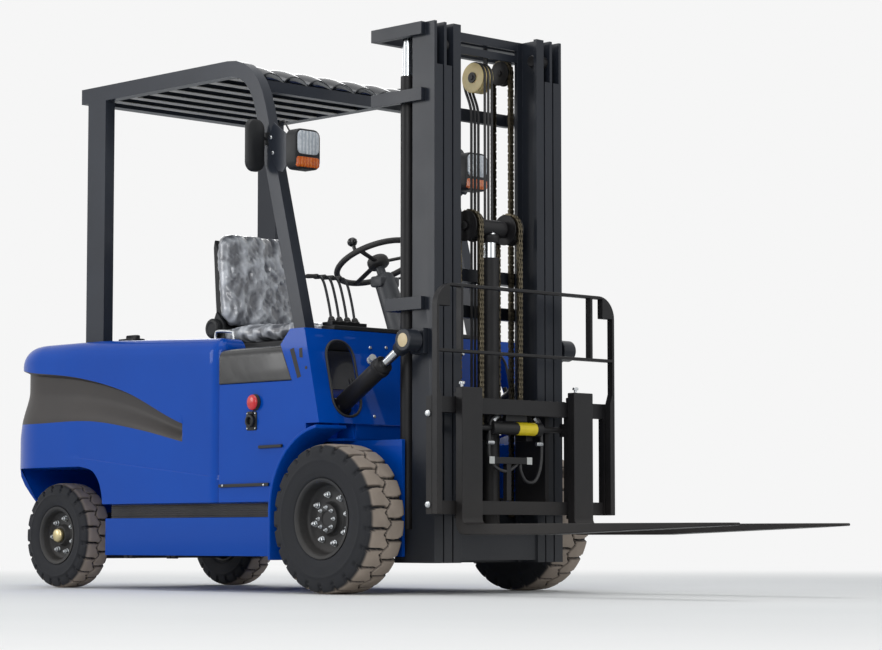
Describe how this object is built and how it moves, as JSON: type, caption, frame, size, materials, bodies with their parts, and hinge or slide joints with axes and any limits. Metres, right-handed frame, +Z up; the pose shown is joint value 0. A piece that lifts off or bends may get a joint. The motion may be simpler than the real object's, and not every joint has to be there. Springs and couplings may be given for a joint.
{
  "type": "electric counterbalance forklift truck",
  "caption": "Four-wheel electric forklift with tilting three-stage mast, side shifter, forks, load backrest, overhead guard, seat on a rear-hinged hood and steered rear wheels.",
  "frame": {"origin": "on the floor under the middle of the truck's overall box", "axes": "+X forward towards the fork tips, +Y to the truck's left, +Z up"},
  "size_m": [4.134, 1.25, 2.236],
  "materials": {
    "blue_paint": "gloss enamel",
    "mast_paint": "satin enamel",
    "black_paint": "satin enamel",
    "tyre": "moulded rubber",
    "black_plastic": "moulded",
    "grey_plastic": "moulded",
    "chrome": "polished",
    "seat_cover": "vinyl under clear film",
    "lamp": "clear lens",
    "stop_red": "moulded",
    "nylon": "cast nylon",
    "smoked": "ribbed smoked sheet"
  },
  "bodies": {
    "root": {"chassis_frame": "blue_paint", "counterweight": "blue_paint", "battery_block": "black_plastic", "side_panel_right": "blue_paint", "side_panel_left": "blue_paint", "side_cover_right": "black_plastic", "fender_right": "blue_paint", "fender_left": "blue_paint", "front_cowl": "blue_paint", "dash_panel": "black_plastic", "steering_column": "grey_plastic", "control_levers": "black_plastic", "overhead_guard": "mast_paint", "roof_panel": "smoked", "headlamp_right": "lamp", "headlamp_left": "lamp", "mirror_right": "black_plastic", "mirror_left": "black_plastic", "emergency_stop": "stop_red", "drive_axle": "black_paint", "steer_axle": "black_paint"},
    "hood": {"hood": "black_plastic", "seat_base": "black_plastic", "seat_cushion": "seat_cover", "seat_back": "seat_cover"},
    "steering_wheel": {"steering_wheel": "black_plastic"},
    "front_wheel_right": {"front_tyre_right": "tyre", "front_rim_right": "black_paint"},
    "knuckle_right": {"knuckle_right": "black_paint"},
    "rear_wheel_right": {"rear_tyre_right": "tyre", "rear_rim_right": "black_paint"},
    "tilt_barrel_right": {"tilt_barrel_right": "mast_paint"},
    "tilt_rod_right": {"tilt_rod_right": "chrome"},
    "front_wheel_left": {"front_tyre_left": "tyre", "front_rim_left": "black_paint"},
    "knuckle_left": {"knuckle_left": "black_paint"},
    "rear_wheel_left": {"rear_tyre_left": "tyre", "rear_rim_left": "black_paint"},
    "tilt_barrel_left": {"tilt_barrel_left": "mast_paint"},
    "tilt_rod_left": {"tilt_rod_left": "chrome"},
    "outer_mast": {"outer_mast": "mast_paint", "lift_barrel_right": "mast_paint", "lift_barrel_left": "mast_paint"},
    "middle_mast": {"middle_mast": "mast_paint", "lift_rod_right": "chrome", "lift_rod_left": "chrome", "hose_pulley": "nylon"},
    "inner_mast": {"inner_mast": "mast_paint", "free_lift_barrel": "mast_paint"},
    "crosshead": {"crosshead": "mast_paint"},
    "carriage": {"carriage": "mast_paint", "side_shift_cylinder": "mast_paint"},
    "side_shift": {"side_shift_frame": "mast_paint", "load_backrest": "mast_paint", "fork_right": "mast_paint", "fork_left": "mast_paint"}
  },
  "joints": [
    {"name": "front_wheel_right_spin", "type": "hinge", "parent": "root", "child": "front_wheel_right", "pos_m": [0.233, -0.525, 0.292], "axis": [0, 1, 0], "continuous": true},
    {"name": "steer_right", "type": "hinge", "parent": "root", "child": "knuckle_right", "pos_m": [-1.603, -0.358, 0.229], "axis": [0, 0, 1], "range_deg": [-75, 75]},
    {"name": "rear_wheel_right_spin", "type": "hinge", "parent": "knuckle_right", "child": "rear_wheel_right", "pos_m": [-1.603, -0.473, 0.229], "axis": [0, 1, 0], "continuous": true},
    {"name": "front_wheel_left_spin", "type": "hinge", "parent": "root", "child": "front_wheel_left", "pos_m": [0.233, 0.525, 0.292], "axis": [0, 1, 0], "continuous": true},
    {"name": "steer_left", "type": "hinge", "parent": "root", "child": "knuckle_left", "pos_m": [-1.603, 0.358, 0.229], "axis": [0, 0, 1], "range_deg": [-75, 75]},
    {"name": "rear_wheel_left_spin", "type": "hinge", "parent": "knuckle_left", "child": "rear_wheel_left", "pos_m": [-1.603, 0.473, 0.229], "axis": [0, 1, 0], "continuous": true},
    {"name": "steering_wheel_turn", "type": "hinge", "parent": "root", "child": "steering_wheel", "pos_m": [-0.109, 0, 1.364], "axis": [-0.4361, 0, 0.8999], "range_deg": [-760, 760]},
    {"name": "hood_open", "type": "hinge", "parent": "root", "child": "hood", "pos_m": [-1.075, 0, 1], "axis": [0, -1, 0], "range_deg": [0, 50]},
    {"name": "mast_tilt", "type": "hinge", "parent": "root", "child": "outer_mast", "pos_m": [0.233, 0, 0.292], "axis": [0, 1, 0], "range_deg": [-10, 6]},
    {"name": "middle_lift", "type": "slide", "parent": "outer_mast", "child": "middle_mast", "axis": [0, 0, 1], "range_m": [0, 1.35]},
    {"name": "inner_lift", "type": "slide", "parent": "middle_mast", "child": "inner_mast", "axis": [0, 0, 1], "range_m": [0, 1.35]},
    {"name": "carriage_lift", "type": "slide", "parent": "inner_mast", "child": "carriage", "axis": [0, 0, 1], "range_m": [0, 1.3]},
    {"name": "crosshead_lift", "type": "slide", "parent": "inner_mast", "child": "crosshead", "axis": [0, 0, 1], "range_m": [0, 0.65]},
    {"name": "side_shift_slide", "type": "slide", "parent": "carriage", "child": "side_shift", "axis": [0, 1, 0], "range_m": [-0.1, 0.1]},
    {"name": "tilt_barrel_right_swing", "type": "hinge", "parent": "root", "child": "tilt_barrel_right", "pos_m": [0.138, -0.435, 0.735], "axis": [0, 1, 0], "range_deg": [-13.8, 8.3]},
    {"name": "tilt_rod_right_slide", "type": "slide", "parent": "tilt_barrel_right", "child": "tilt_rod_right", "axis": [0.8528, 0, 0.5223], "range_m": [-0.0735, 0.0445]},
    {"name": "tilt_barrel_left_swing", "type": "hinge", "parent": "root", "child": "tilt_barrel_left", "pos_m": [0.138, 0.435, 0.735], "axis": [0, 1, 0], "range_deg": [-13.8, 8.3]},
    {"name": "tilt_rod_left_slide", "type": "slide", "parent": "tilt_barrel_left", "child": "tilt_rod_left", "axis": [0.8528, 0, 0.5223], "range_m": [-0.0735, 0.0445]}
  ],
  "couplings": [
    {"joint": "steer_left", "follows": "steer_right", "ratio": 1},
    {"joint": "steering_wheel_turn", "follows": "steer_right", "ratio": -10},
    {"joint": "inner_lift", "follows": "middle_lift", "ratio": 1},
    {"joint": "crosshead_lift", "follows": "carriage_lift", "ratio": 0.5},
    {"joint": "tilt_barrel_right_swing", "follows": "mast_tilt", "ratio": 1.37},
    {"joint": "tilt_rod_right_slide", "follows": "mast_tilt", "m_per_rad": 0.415},
    {"joint": "tilt_barrel_left_swing", "follows": "mast_tilt", "ratio": 1.37},
    {"joint": "tilt_rod_left_slide", "follows": "mast_tilt", "m_per_rad": 0.415}
  ]
}
